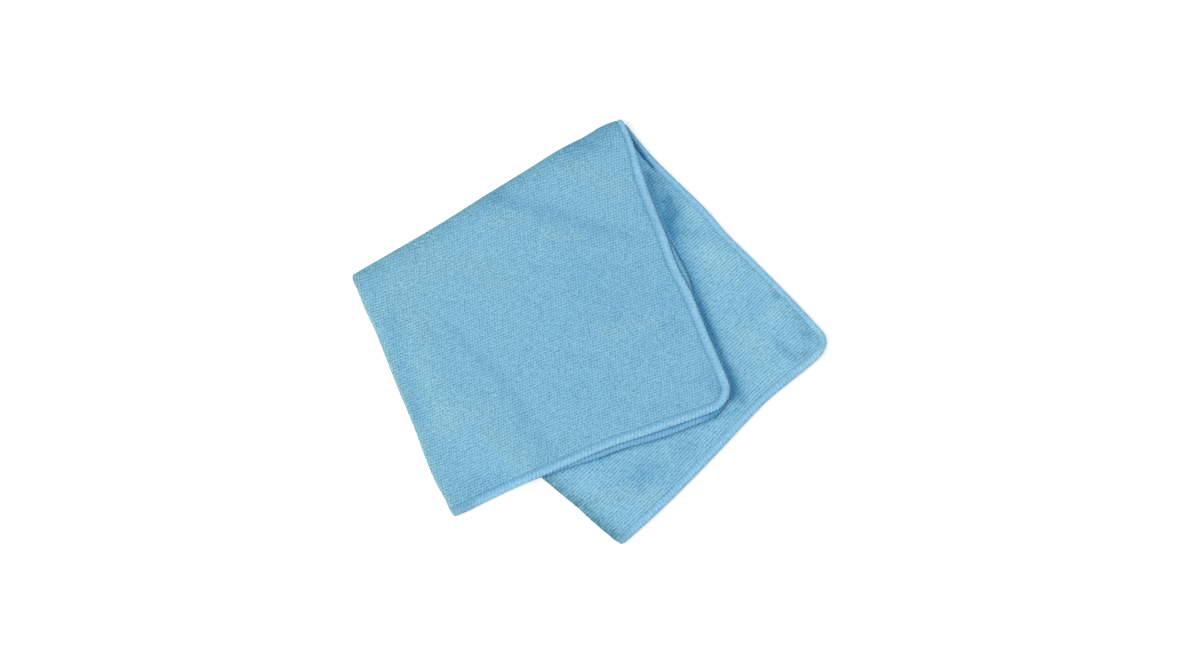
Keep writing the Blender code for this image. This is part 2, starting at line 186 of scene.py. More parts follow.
# Tone of the pile, as strokes like those above: painted shade in troughs, creases, the
# slit and the upper pair's shadow, painted light on ridges, slopes and corners that face
# the light; pile that leans away is darker too, and the tone is warmer or bluer patch by
# patch, bluer in the deepest painted shade
Tone = namedtuple("Tone", "x0 y0 x1 y1 reach lighter warmer")
TOP_TONES = chart(Tone,
    # painted shade along the top layer's troughs
    (-60, 86, -36, 77.4, 5, -0.1, 0),
    (-28, 75, -15, 72, 5, -0.11, -0.11),
    (-7, 69.6, 4, 65.4, 5, -0.1, -0.11),
    (13, 63.3, 22, 62, 6, -0.06, 0),
    (-92, 4, -77.3, -10.7, 4, -0.07, 0),
    (-72.7, -15.4, -55.3, -33.6, 4, -0.08, -0.06),
    (-51, -39.5, -28, -78, 5, -0.06, 0),
    (-127, 6, -109, -55, 7, -0.08, 0),
    (-111, 6, -86, -68, 11, 0, 0.2),
    (-79, -106, -60, -100, 9, -0.05, -0.11),
    (6, 125, -12, 116, 9, -0.12, -0.06),
    (81, -37, 75, -28, 5.5, -0.12, -0.06),
    (50, -22, 73, -26, 9, 0.03, 0),
    (-10, 102, 20, 91, 8, 0.02, 0.55),
    (-64, 70, -44, 72, 5, 0.02, 0.5),
    (-29, 62, -10, 61, 4, 0.02, 0.5),
    (-118, 44, -70, 38, 22, -0.01, 0.45),
    (-128, 22, -106, -36, 13, 0, 0.35),
    (-70, 90, -58, 85, 6, -0.07, 0),
    (10, -2, 41, 6, 5, 0.02, 0.5),
    (-95, -60, -72, -52, 11, 0.02, 0.5),
    (-62, -68, -44, -84, 8, 0.02, 0.5),
    (40, 30, 60, -10, 20, -0.01, -0.17),
    (-20, 20, 0, -30, 22, 0, -0.11),
    (0, 34, 14, 14, 10, -0.05, -0.1),
)
LOWER_TONES = chart(Tone,
    # painted light where the slit opens, then the slit's painted shadow beside the lower hem
    (29, 116, 34, 104, 2.6, 0.2, 0),
    (27.6, 120.1, 35, 111.1, 1.1, -1.3, -0.2),
    (36.2, 109.7, 40, 105.3, 0.9, -0.9, -0.2),
    (41, 104.1, 42, 102.9, 0.7, -0.4, -0.1),
    (34, 108, 44, 94, 5, -0.1, 0.3),
    # painted shade beside the upper side hem
    (51, 71, 54, 61, 3, -0.12, -0.1),
    (50, 84, 54, 76, 5, -0.28, -0.1),
    (20, -95, 45, -90, 20, -0.05, 0),
    # painted shade past the upper side hem's corner
    (96, -40, 98, -45, 3, -0.18, -0.17),
    (118.6, 23.6, 120, 22, 2.5, -0.2, -0.2),
    (105.8, 12.8, 104, 6, 6, -0.07, -0.3),
    (77, 51, 89, 40, 6, 0.05, 0.3),
    (61, 79, 66, 73, 5, 0.04, 0.55),
    (59, 65, 80, 61, 3.5, -0.08, -0.2),
    (76, 49, 92, 34, 8, 0.03, 0.5),
    (115, 10, 121, 14, 6, 0.06, 0.5),
    (133.5, -3.5, 136.5, -10, 2.6, 0.12, 0.1),
    (134, 10, 140.5, -1, 3.5, -0.13, -0.1),
    (139, -3, 139.5, -13, 2.6, -0.2, -0.17),
    (121, -9, 130, -16, 4, -0.13, -0.2),
    (99, 0, 109, -14, 7, 0.04, 0.7),
    (112, -28, 120, -32, 7, 0.02, 0.5),
    (32, -92, 37, -90, 7, -0.12, -0.39),
    (60, -76, 66, -73, 6, -0.09, -0.28),
    (0, -96, 19, -76, 8, 0.05, 0.2),
    (12, -106, 42, -108, 7, 0.02, 0.6),
    (4, -84, 16, -84, 6, -0.04, -0.4),
    (7, -80.8, 25, -74.6, 1.3, -0.25, 0),
    # painted highlight near the lower pair's corner
    (139.3, 4.9, 145.5, -1.6, 2, 0.12, 0),
)
# Painted light and shade on the hems, as strokes like those above: painted shade where a hem turns
# round a fold end, in the slit and under the upper pair near the second fold, and where the second
# layer's hem lies under the first; painted highlights where the lower pair's hem rounds its corner
UPPER_HEM_TONES = chart(Tone,
    (-88.5, -117, -87.5, -114.5, 3.5, -0.05, 1.2),
    (-84.8, -116.8, -76.4, -113.4, 4, -0.24, 0.6),
)
LOWER_HEM_TONES = chart(Tone,
    (30, 121, 41, 109, 5, -0.12, 0),
    (27.6, 120.1, 35, 111.1, 1.4, -1.3, -0.1),
    (36.4, 109.5, 40, 105.3, 1, -1, -0.1),
    (41, 104.1, 42, 103, 0.8, -0.5, -0.1),
    (44, 103, 60, 86, 7, -0.06, 0),
    (17.4, -136, 20, -132.2, 4.5, -0.32, 1.5),
    (22.1, -129.4, 25.8, -125.9, 2.5, -0.06, 0),
    (136.8, -25.2, 151, -12.5, 3, 0.1, 0.9),
    (143.2, 5.7, 152.1, -3.7, 3, 0.05, 0.9),
    (139.3, 4.9, 145.5, -1.6, 2, 0.15, 0),
)
UNDER_HEM_TONES = chart(Tone,
    (80, -53, 92, -45, 7, -0.24, -0.7),
    (56, 48, 63, 29, 4, -0.08, 0.1),
)

# Shade on the lower pile past the upper side hem, at a share of the hem: how deep it
# is, over how many millimetres, how much light creeps in at the hem, and how blue it is
Shade = namedtuple("Shade", "along deep reach lift bluer")
SIDE_HEM_SHADE = chart(Shade,
    (0, 0, 6, 0.3, 0.3), (0.14, 0, 4, 0.58, 0.5), (0.22, 0.36, 12, 0.5, 0.9),
    (0.3, 0.32, 14, 0.4, 1.2), (0.38, 0.46, 11.5, 0.42, 1.6), (0.46, 0.34, 9.5, 0.38, 1.3),
    (0.54, 0.3, 9, 0.3, 1), (0.62, 0.38, 6, 0.28, 1.8), (0.7, 0.53, 5, 0.28, 1.7),
    (0.78, 0.47, 5, 0.32, 1.8), (0.86, 0.36, 5, 0.34, 1.6), (0.94, 0.48, 6.5, 0.26, 1.6),
    (1, 0.48, 6.5, 0.2, 1.6))
SHADE_START = 1.8 * MM
SHADE_AT_HEM = 0.1
SHADE_BLUENESS_REACH = 4.0 * MM
SHADE_LIFT_REACH = 1.3 * MM
SHADE_TURN = 12 * MM            # how gradually the shade ends round the hem's corner
END_HEM_SHADE = 0.10
END_HEM_BLUENESS = 0.95
END_HEM_SHADE_REACH = 1.5 * MM
END_HEM_SHADE_STOP = 5 * MM     # past the hem's corner there is nothing left to shade it

# Over a fold the pile's ends stand out against the light, greyer than the rest
Fringe = namedtuple("Fringe", "fold reach deeper warmer")
TOP_FRINGES = (Fringe(SECOND_FOLD, 2.0, 0.12, 1.6), Fringe(UPPER_FIRST_FOLD, 3.2, 0.05, 1.7))
LOWER_FRINGES = (Fringe(LOWER_FIRST_FOLD, 2.0, 0.08, 2.4),)

# The second layer's hem shows beside the first's, in the first's shadow: painted shade,
# darker and bluer, with painted shade between its threads
UNDER_HEM_LIFT = -0.22
UNDER_HEM_RIBS = 0.08           # its threads show a little bolder
UNDER_HEM_WARMTH = -0.45
HEM_EDGE_LIFT = 0.22            # light threads show at the cut edge, where light passes round
HEM_EDGE_WARMTH = 0.8
HEM_EDGE_REACH = 0.10           # shares of the hem's width, from here to NEEDLE_REACH
HEM_CREST = 0.44
UPPER_CREST_SHIFT = 0.10
HEM_CREST_TRIM = 0.08
NEEDLE_REACH = 0.12
HEM_CREST_SPREAD = 1.2          # the crest reaches this times its place, less the trim
UNDER_HEM_EDGE_LOSS = 0.6       # less light passes round the edge under another hem
# painted highlight along the hem's rounded crest, painted shade on its sides
HEM_CREST_HIGHLIGHT = 0.22
HEM_SIDE_SHADE = 0.13
NEEDLE_SHADE = 0.2
PAIR_CHANGE = 10 * MM           # along the hem, from one pair's look to the other's
LAYER_CHANGE = 4 * MM

# Painted shade over a fold, where the pile turns away from the light; the pile fans
# open there and its dark roots show too, greyer than the rest
FoldShade = namedtuple("FoldShade", "fold deep reach")
UPPER_SHADE = FoldShade(SECOND_FOLD, 0.20, 7.5 * MM)
LOWER_SHADE = FoldShade(LOWER_FIRST_FOLD, 0.50, 6.3 * MM)
FOLD_SHADE_WARMTH = 2.8
FOLD_SIDE_SHOWN = 0.6           # fold shades and fringes fade from a fold's upper side to its
FOLD_SIDE_TURN = 1.5            # lower one: how much is left sideways on, and how fast it fades
RUFFLE = 0.5                    # how unevenly the pile opens, and the fold's painted shade with it
RUFFLE_SIZE = 1.6 * MM

GROOVE_SHADE = 0.17             # a dark line at the needle holes, painted shade in the groove beside the upper pair's hems
GROOVE_PLACE = 0.2 * MM
GROOVE_REACH = 0.9 * MM

# The knit: rows of loops, each loop four mesh points long and four wide.  Rows lean
# a little off the cloth's edge and wander, each row's loops stand along from the last
# row's, and both stray.  Rows, loops and unevenness share out the height of the pile.
LOOP_PITCH = 1.74 * MM
POINTS_PER_LOOP = 4
WANDER_SIZE = 15 * MM
STRAY_SIZE = 2.3 * MM
STRAY_PATCH = 28 * MM           # some patches are more ruffled than others, by so much
STRAY_PATCH_CHANGE = 0.7
UNEVEN_SIZE = 0.95 * MM
Knit = namedtuple("Knit", "row_pitch lean wander shift stray rows loops uneven ridge depth lighter")
BRUSHED = Knit(1.745 * MM, 0.0, 0.22 * MM, -0.31, 0.15, 0.42, 0.32, 0.34, 1.0, 0.60 * MM, -0.03)
COMBED = Knit(1.86 * MM, 0.020, 0.40 * MM, -0.20, 0.12, 0.60, 0.10, 0.42, 0.7, 0.60 * MM, 0.03)
SKIN_LIFT = 0.08 * MM
SKIN_EDGE_DIP = 0.65 * MM
SKIN_EDGE_REACH = 1.8 * MM
SKIN_TUCK = 1.2 * MM            # how far the pile runs on under the hem
PRESS_DEPTH = 0.45 * MM         # the hem presses down the pile beside it
PRESS_START = 0.3 * MM
PRESS_REACH = 1.1 * MM
UPPER_SKIN_START = -12 * MM     # rows of loops that each skin can have, measured along
LOWER_SKIN_END = 40 * MM
BELOW_SECOND_FOLD = 2.0 * MM    # where the lower skin stops, inside the second fold
FIRST_FOLD_WRAP = 5.4 * MM      # how far the skins run on round a fold
SECOND_FOLD_WRAP = 9.5 * MM
SKIN_SEAMS = (37 * LOOP_PITCH, 75 * LOOP_PITCH)     # where the upper skin's three pieces meet
COVER_MARGIN = 9 * MM           # how far the lower skin runs on under the upper pair
COVER_START = 0.6 * MM          # from a skin's border, the ground thins out under it
COVER_EASE = 1.2 * MM
PILE_EASE_START = 0.4 * MM      # from the hem, the back's pile comes up to its height
PILE_EASE = 1.6 * MM

# The overlocked hem
THREAD_PITCH = 2.4 * MM
POINTS_PER_THREAD = 6
THREAD_DEPTH = 0.24 * MM
THREAD_SLANT = 0.8
THREAD_STRAY = 0.10
SIDE_THREAD_BOLDNESS = 0.6      # the side hems are worn smoother than the end hems
EDGE_THREAD_OUT = 0.12 * MM
HEM_UNEVEN_SIZE = 3.1 * MM
HEM_SWELL_SIZE = 17 * MM
HEM_UNEVEN_WIDTH = 0.15 * MM
HEM_UNEVEN_HEIGHT = 0.05 * MM
HEM_MAP_STRIPS = 12
HEM_MAP_MARGIN = 0.04           # of a strip's height, left free on each side

# Section of the hem: share of its width in from the edge, and millimetres off the sheet's middle
Rib = namedtuple("Rib", "inward off")
HEM_SECTION = chart(Rib,
    (1.02, 0.3), (0.95, 0.66), (0.84, 0.84), (0.64, 0.97), (0.42, 1.04), (0.2, 0.92),
    (0.05, 0.55))

# Grid rows of the ground sheet: distances from a fold and from a hem, in millimetres
FIRST_FOLD_ROWS = (0.5, 1.0, 1.5, 2.0, 2.6, 3.3, 4.6, 6.6)
SECOND_FOLD_ROWS = (0.8, 1.6, 2.4, 3.2, 4.2, 5.2, 6.4, 7.6, 9.0, 11.0)
HEM_ROWS = (7.0, 5.5, 4.0, 2.4, 1.0, 0.3)
CORNER_ROW = CORNER_RADIUS / MM
BETWEEN_ACROSS = 66
BETWEEN_ALONG = 66
PROBE = 0.05 * MM

# The ground's texture map has its two faces side by side
FACE_MAP_WIDTH = 0.49
BACK_MAP_START = 0.51

# Smooth unevenness comes from a repeating field of random numbers
FIELD_SIDE = 64
FIELD_START = 200.0


QUARTER_TURN = math.pi / 2


# ---------------------------------------------------------------- the folds

def smooth_step(t):
    t = np.clip(t, 0.0, 1.0)
    return t * t * (3 - 2 * t)


def smooth_rows(places, values, at):
    """A smooth curve through a few rows, with slopes taken from the neighbours."""
    places = np.asarray(places, float)
    values = np.asarray(values, float)
    slopes = np.gradient(values, places)
    k = np.clip(np.searchsorted(places, at) - 1, 0, len(places) - 2)
    span = places[k + 1] - places[k]
    t = (at - places[k]) / span
    rise = values[k + 1] - values[k]
    ease = t * t * (3 - 2 * t)
    start_pull = t * (1 - t) ** 2 * slopes[k] * span
    end_pull = t * t * (t - 1) * slopes[k + 1] * span
    return values[k] + rise * ease + start_pull + end_pull


def column_at(rows, column, along):
    """A column of a chart, read smoothly between its rows."""
    return smooth_rows([row.along for row in rows], [getattr(row, column) for row in rows], along)


def wave(turns):
    """1 at each whole turn and 0 halfway between."""
    return 0.5 + 0.5 * np.cos(4 * QUARTER_TURN * turns)


def fade(distance, reach):
    """1 at no distance, dying off over the reach."""
    return np.exp(-(distance / reach) ** 2)


def bow_of(edge, along):
    """How far an edge bows to the left of its chord."""
    rows = (Bow(0.0, 0.0),) + edge.bows + (Bow(1.0, 0.0),)
    return column_at(rows, "left", np.clip(along, 0.0, 1.0)) * MM


def chord(edge):
    """An edge's start, its run as x and y, and its length."""
    start = np.array(edge.start) * MM
    run = np.array(edge.end) * MM - start
    length = math.hypot(*run)
    return start, run, length


def left_way(edge):
    """Unit vector to the left of an edge's chord."""
    _, run, length = chord(edge)
    return np.array((-run[1], run[0])) / length


def edge_point(edge, along):
    """A point on the edge at a share of its chord, as an array of x and y."""
    start, run, _ = chord(edge)
    along = np.asarray(along, float)
    return start + along[..., None] * run + bow_of(edge, along)[..., None] * left_way(edge)


def share_along(edge, x, y):
    """Where a point lies beside an edge's chord: 0 at its start and 1 at its end."""
    start, run, length = chord(edge)
    return ((x - start[0]) * run[0] + (y - start[1]) * run[1]) / length ** 2


def left_of(edge, x, y):
    """How far a point on the table lies to the left of an edge."""
    start, run, length = chord(edge)
    left_of_chord = ((y - start[1]) * run[0] - (x - start[0]) * run[1]) / length
    return left_of_chord - bow_of(edge, share_along(edge, x, y))


def patch(fold, end_hem, first_fold, side_hem, across, along):
    """The sheet stretched between four edges; across runs from the first fold
    to the side hem, along from the second fold to the end hem."""
    s = across[..., None]
    t = along[..., None]
    between_rows = (1 - t) * edge_point(fold, across) + t * edge_point(end_hem, across)
    between_sides = (1 - s) * edge_point(first_fold, along) + s * edge_point(side_hem, along)
    corner = [np.array(c) * MM for c in (fold.start, fold.end, end_hem.start, end_hem.end)]
    at_fold = (1 - s) * corner[0] + s * corner[1]
    at_hem = (1 - s) * corner[2] + s * corner[3]
    return between_rows + between_sides - (1 - t) * at_fold - t * at_hem


def closeness(stroke, x, y):
    """1 on a stroke's line, dying off to nothing away from it."""
    x0, y0, x1, y1 = (value * MM for value in stroke[:4])
    run_x = x1 - x0
    run_y = y1 - y0
    share = np.clip(((x - x0) * run_x + (y - y0) * run_y) / (run_x ** 2 + run_y ** 2), 0, 1)
    away = np.hypot(x - x0 - share * run_x, y - y0 - share * run_y)
    return fade(away, stroke.reach * MM)


def stroke_rise(strokes, x, y):
    """How much the strokes add to the air under a layer."""
    return sum(stroke.rise * MM * closeness(stroke, x, y) for stroke in strokes)


def tone_of(tones, x, y):
    """How much lighter and how much warmer the pile is at a point on the table."""
    lighter = sum(tone.lighter * closeness(tone, x, y) for tone in tones)
    warmer = sum(tone.warmer * closeness(tone, x, y) for tone in tones)
    return lighter, warmer


def at_least(gap, least):
    """The gap, eased so that it never falls below the least one."""
    return least + GAP_SOFTNESS * np.logaddexp(0.0, (gap - least) / GAP_SOFTNESS)


def peek_at(peeks, share):
    """How far the second layer's hem lies out past the first's."""
    return column_at(peeks, "out", share) * MM


def side_hem_shade(x, y, past_side, past_end):
    """Shade beside the upper side hem: how much deeper and how much bluer."""
    over_side = np.maximum(past_side + CORNER_RADIUS, 0.0)
    over_end = np.maximum(past_end + CORNER_RADIUS, 0.0)
    past = np.maximum(np.hypot(over_side, over_end) - CORNER_RADIUS, 0.0)
    share = np.clip(share_along(UPPER_SIDE_HEM, x, y), 0.0, 1.0)
    deep, reach, lift, bluer = (column_at(SIDE_HEM_SHADE, name, share) for name in Shade._fields[1:])
    open_past = np.maximum(past - np.maximum(peek_at(SIDE_HEM_PEEK, share), 0.0), 0.0)
    deep = deep * fade(past, reach * MM) * smooth_step(past / SHADE_START + SHADE_AT_HEM)
    lift = lift * fade(open_past, SHADE_LIFT_REACH)
    return deep - lift, bluer * fade(open_past, SHADE_BLUENESS_REACH)


def past_upper_hems(x, y):
    """How far a point lies past the upper pair's side hem, and past its end hem."""
    return left_of(UPPER_SIDE_HEM, x, y), -left_of(UPPER_END_HEM, x, y)


def hem_shade(x, y):
    """How much deeper and how much bluer the lower pile is in the shade of the upper pair."""
    past_side, past_end = past_upper_hems(x, y)
    side_deeper, side_bluer = side_hem_shade(x, y, past_side, past_end)
    beside_side = smooth_step(0.5 + (past_side - past_end) / SHADE_TURN)
    share = np.clip(share_along(UPPER_END_HEM, x, y), 0.0, 1.0)
    beside_end = (1 - beside_side) * fade(past_end - peek_at(END_HEM_PEEK, share), END_HEM_SHADE_REACH)
    beside_end = beside_end * smooth_step(0.5 - past_side / END_HEM_SHADE_STOP)
    deeper = beside_side * side_deeper + END_HEM_SHADE * beside_end
    return deeper, beside_side * side_bluer + END_HEM_BLUENESS * beside_end


def fringe_tone(fringes, x, y):
    """How much deeper and how much warmer the pile is near the folds it runs over."""
    deeper = 0.0
    warmer = 0.0
    for fringe in fringes:
        nearness = fade(left_of(fringe.fold, x, y), fringe.reach * MM)
        deeper = deeper + fringe.deeper * nearness
        warmer = warmer + fringe.warmer * nearness
    return deeper, warmer


def upper_tone(x, y, upward):
    lighter, warmer = tone_of(TOP_TONES, x, y)
    fringe_deeper, fringe_warmer = fringe_tone(TOP_FRINGES, x, y)
    return lighter - fringe_deeper * upward, warmer + fringe_warmer * upward


def lower_tone(x, y, upward):
    lighter, warmer = tone_of(LOWER_TONES, x, y)
    deeper, bluer = hem_shade(x, y)
    fringe_deeper, fringe_warmer = fringe_tone(LOWER_FRINGES, x, y)
    return lighter - deeper - fringe_deeper * upward, warmer - bluer + fringe_warmer * upward


def lofted(loft, away):
    """The extra air beside a fold, dying off away from it."""
    return loft.rise * fade(np.maximum(away, 0.0), loft.reach)


def waviness(x, y, size, seed):
    """Smooth unevenness between -1 and 1, with bumps about size across.  Each seed
    gives a pattern of its own."""
    field = np.random.default_rng(seed).uniform(-1.0, 1.0, (FIELD_SIDE, FIELD_SIDE))
    x = x / size + FIELD_START
    y = y / size + FIELD_START
    i = np.floor(x).astype(int)
    j = np.floor(y).astype(int)
    p = smooth_step(x - i)
    q = smooth_step(y - j)

    def between(row):
        near = field[i % FIELD_SIDE, row % FIELD_SIDE]
        far = field[(i + 1) % FIELD_SIDE, row % FIELD_SIDE]
        return near * (1 - p) + far * p

    return between(j) * (1 - q) + between(j + 1) * q


def gap_inside_pair(x, y, strokes, unevenness, first_fold, turn_loft):
    """The air between the two layers of a pair."""
    gap = PAIR_GAP + stroke_rise(strokes, x, y) + TURN_LOFT_SHARE * turn_loft
    gap = gap + lofted(FIRST_FOLD_LOFT, left_of(first_fold, x, y))
    for row in unevenness:
        gap = gap + row.height * MM * waviness(x, y, row.size * MM, row.seed)
    return at_least(gap, LEAST_GAP)


def layer_heights(x, y):
    """Heights of the middle of layers 1 to 4 over a point on the table."""
    turn_loft = lofted(SECOND_FOLD_LOFT, -left_of(SECOND_FOLD, x, y))
    lower_gap = gap_inside_pair(x, y, LOWER_PAIR_STROKES, LOWER_UNEVENNESS, LOWER_FIRST_FOLD, turn_loft)
    upper_gap = gap_inside_pair(x, y, TOP_LAYER_STROKES, UPPER_UNEVENNESS, UPPER_FIRST_FOLD, turn_loft)
    middle_gap = at_least(MIDDLE_GAP + stroke_rise(MIDDLE_STROKES, x, y) + turn_loft, LEAST_GAP)
    thick = 2 * PILE_HALF
    fourth = np.full_like(x, PILE_HALF)
    third = fourth + thick + lower_gap
    carried = smooth_step(1 + (left_of(LOWER_FIRST_FOLD, x, y) + DROP_START) / DROP_REACH)
    second = PILE_HALF + carried * (third + middle_gap + PILE_HALF)
    first = second + thick + upper_gap
    return first, second, third, fourth


def turn(distance, radius):
    """How far in from the crest of a fold the sheet has come after a distance along it."""
    quarter = radius * QUARTER_TURN
    bent = radius * (1 - np.cos(np.minimum(distance, quarter) / radius))
    return bent + np.maximum(distance - quarter, 0.0)


def bend(distance, radius):
    """From -1 on one side of a fold to 1 on the other."""
    return np.sin(np.clip(distance / radius, -QUARTER_TURN, QUARTER_TURN))


def fold_row(u):
    """Where the second fold crosses the flat cloth."""
    return SECOND_FOLD_SLANT * (1 - np.abs(u) / HALF_WIDTH)


def hem_distance(u, v):
    """Distance from a point on the flat cloth to its edge, with rounded corners."""
    over_u = np.abs(u) - (HALF_WIDTH - CORNER_RADIUS)
    over_v = np.abs(v) - (HALF_LENGTH - CORNER_RADIUS)
    straight = CORNER_RADIUS - np.maximum(over_u, over_v)
    rounded = CORNER_RADIUS - np.hypot(over_u, over_v)
    return np.where((over_u > 0) & (over_v > 0), rounded, straight)


def peek_shift(peeks, edge, share, ramp):
    """A shift out past an edge's right-hand side, fading into the cloth."""
    fading = smooth_step((ramp - PEEK_STARTS) / (1 - PEEK_STARTS))
    return -(peek_at(peeks, share) * fading)[..., None] * left_way(edge)


def upper_pair_place(across, along, inner):
    """Place on the upper pair; its inner layer's hems peek out from under the outer ones."""
    place = patch(SECOND_FOLD, UPPER_END_HEM, UPPER_FIRST_FOLD, UPPER_SIDE_HEM, across, along)
    place += inner * peek_shift(END_HEM_PEEK, UPPER_END_HEM, across, along)
    place -= inner * peek_shift(SIDE_HEM_PEEK, UPPER_SIDE_HEM, along, across)
    return place


def lower_pair_place(across, along, inner):
    """Place on the lower pair; its lowest layer's hems lie back under the ones above."""
    place = patch(SECOND_FOLD, LOWER_END_HEM, LOWER_FIRST_FOLD, LOWER_SIDE_HEM, across, along)
    recess = LOWEST_LAYER_RECESS * (1 - inner)
    place += recess * smooth_step(2 * along - 1)[..., None] * left_way(LOWER_END_HEM)
    place -= recess * smooth_step(2 * across - 1)[..., None] * left_way(LOWER_SIDE_HEM)
    return place


def plan_place(u, v, side, pair, radius):
    """Place on the table, x and y; side and pair say which layer it is on."""
    tuck = HEM_TUCK * fade(u, HEM_TUCK_REACH) * (1 - smooth_step(hem_distance(u, v) / HEM_TUCK_DEPTH))
    across = PILE_HALF + tuck + turn(np.abs(u), FIRST_FOLD_RADIUS)
    across = across / (PILE_HALF + turn(HALF_WIDTH, FIRST_FOLD_RADIUS))
    crest = PILE_HALF + FIRST_FOLD_RADIUS * (1 - side)
    fold = fold_row(u)
    inward = crest + turn(np.abs(v - fold), radius)
    upper_along = np.minimum(inward / (crest + turn(HALF_LENGTH - fold, radius)), 1.0)
    lower_along = np.minimum(inward / (crest + turn(HALF_LENGTH + fold, radius)), 1.0)
    inner = ((1 - side) / 2)[..., None]
    upper_share = ((1 + pair) / 2)[..., None]
    return (upper_share * upper_pair_place(across, upper_along, inner)
            + (1 - upper_share) * lower_pair_place(across, lower_along, inner))


def lie(u, v):
    """Place of the sheet's middle for points of the flat cloth: x, y and z."""
    # side is 1 on the first and fourth layers, pair is 1 on the first and second
    side = bend(u, FIRST_FOLD_RADIUS)
    radius = SECOND_FOLD_RADIUS + side * FIRST_FOLD_RADIUS
    pair = bend(v - fold_row(u), radius)
    plan = plan_place(u, v, side, pair, radius)
    first, second, third, fourth = layer_heights(plan[..., 0], plan[..., 1])
    sink = HEM_SINK * (1 - smooth_step(hem_distance(u, v) / HEM_SINK_REACH))
    first = first - UPPER_LAYER_SINK * sink
    second = second - sink
    third = third - UPPER_LAYER_SINK * sink
    fourth = fourth - sink
    middle = (first + second + third + fourth) / 4
    pair_half = (first + second - third - fourth) / 4
    layer_half = ((1 + pair) * (first - second) + (1 - pair) * (third - fourth)) / 4
    height = middle + pair * (pair_half + side * layer_half)
    return np.concatenate((plan, height[..., None]), axis=-1)


def facing(u, v):
    """Unit normals out of the cloth's front face."""
    across = lie(u + PROBE, v) - lie(u - PROBE, v)
    along = lie(u, v + PROBE) - lie(u, v - PROBE)
    normal = np.cross(along, across)
    return normal / np.linalg.norm(normal, axis=-1, keepdims=True)


# ---------------------------------------------------------------- the pieces


def upper_skin_room(u, v):
    """Distance inside the border of the upper pile skin."""
    return np.minimum(u + FIRST_FOLD_WRAP, v - fold_row(u) + SECOND_FOLD_WRAP)


def lower_skin_room(u, v):
    """Distance inside the border of the lower pile skin."""
    place = lie(u, v)
    shown = np.maximum(*past_upper_hems(place[..., 0], place[..., 1])) + COVER_MARGIN
    below_fold = fold_row(u) - BELOW_SECOND_FOLD - v
    return np.minimum(np.minimum(shown, FIRST_FOLD_WRAP - u), below_fold)


def loops(u, v, knit):
    """Height of the pile, from 0 between loops to 1 on top of a tall one."""
    wandering = v + knit.lean * u + knit.wander * waviness(u, v, WANDER_SIZE, 20)
    stray = knit.stray * (1 + STRAY_PATCH_CHANGE * waviness(u, v, STRAY_PATCH, 26))
    row = wandering / knit.row_pitch + stray * waviness(u, v, STRAY_SIZE, 21)
    loop = u / LOOP_PITCH - knit.shift * row + stray * waviness(u, v, STRAY_SIZE, 22)
    uneven = 0.5 + 0.5 * waviness(u, v, UNEVEN_SIZE, 23)
    height = knit.rows * wave(row) ** knit.ridge + knit.loops * wave(loop) + knit.uneven * uneven
    return height + 0.5 * (1 - knit.rows - knit.loops - knit.uneven)


def at_end_hem(u, v):
    """1 beside an end hem, 0 beside a side hem, easing over round the corner."""
    return smooth_step(0.5 + (HALF_WIDTH - np.abs(u) - HALF_LENGTH + np.abs(v)) / (2 * CORNER_RADIUS))


def hem_reach(u, v):
    """How far in from the flat edge the overlocked hem comes at a point near it."""
    at_end = at_end_hem(u, v)
    past_fold = v - fold_row(u)
    upper = smooth_step(past_fold / TURN_HALF + 0.5)
    at_turn = (1 - smooth_step((np.abs(past_fold) - TURN_HALF) / TURN_EASE)) * (1 - at_end)
    side = LOWER_SIDE_REACH + (UPPER_SIDE_REACH - LOWER_SIDE_REACH) * upper
    end = LOWER_END_REACH + (UPPER_END_REACH - LOWER_END_REACH) * upper
    reach = side + (end - side) * at_end
    return reach + (TURN_REACH - reach) * at_turn


def add_object(name, data):
    piece = bpy.data.objects.new(name, data)
    bpy.context.scene.collection.objects.link(piece)
    return piece


def new_piece(name, points, faces, material):
    mesh = bpy.data.meshes.new(name)
    mesh.from_pydata(points.tolist(), [], faces.tolist())
    mesh.validate()
    mesh.materials.append(material)
    mesh.shade_smooth()
    return add_object(name, mesh)


def above_table(points):
    """The points, none of them below the table."""
    points[..., 2] = np.maximum(points[..., 2], 0.0)
    return points


def store_points(piece, name, kind, values):
    """Store one value, or one place, for each mesh point."""
    attribute = piece.data.attributes.new(name, kind, "POINT")
    key = "value" if kind == "FLOAT" else "vector"
    attribute.data.foreach_set(key, np.ascontiguousarray(values, np.float32).ravel())


def store_look(piece, flat_place, height, lighter, warmer):
    """What the finish reads at each mesh point."""
    store_points(piece, "flat_place", "FLOAT_VECTOR", flat_place)
    for name, values in (("loop_height", height), ("lighter", lighter), ("warmer", warmer)):
        store_points(piece, name, "FLOAT", values)


def store_bake_map(piece, place_of_point):
    """The piece's own texture map, from two numbers for each mesh point."""
    layer = piece.data.uv_layers.new(name="OFBake")
    corner_points = np.empty(len(piece.data.loops), int)
    piece.data.loops.foreach_get("vertex_index", corner_points)
    layer.data.foreach_set("uv", place_of_point[corner_points].astype(np.float32).ravel())


def skin_grid(skin, u_range):
    """A pile skin's mesh points on the flat cloth, and the faces between them."""
    step_u = LOOP_PITCH / POINTS_PER_LOOP
    step_v = skin.knit.row_pitch / POINTS_PER_LOOP
    columns = np.arange(round(u_range[0] / step_u), round(u_range[1] / step_u) + 1) * step_u
    rows = np.arange(round(skin.v_range[0] / step_v), round(skin.v_range[1] / step_v) + 1) * step_v
    u, v = np.meshgrid(columns, rows, indexing="ij")
    kept = (skin.room(u, v) > 0) & (hem_distance(u, v) > hem_reach(u, v) - SKIN_TUCK)
    whole = np.all(grid_quads(kept), axis=1)
    quads = grid_quads(np.arange(u.size).reshape(u.shape))[whole]
    used, faces = np.unique(quads, return_inverse=True)
    return u.ravel()[used], v.ravel()[used], faces.reshape(quads.shape)


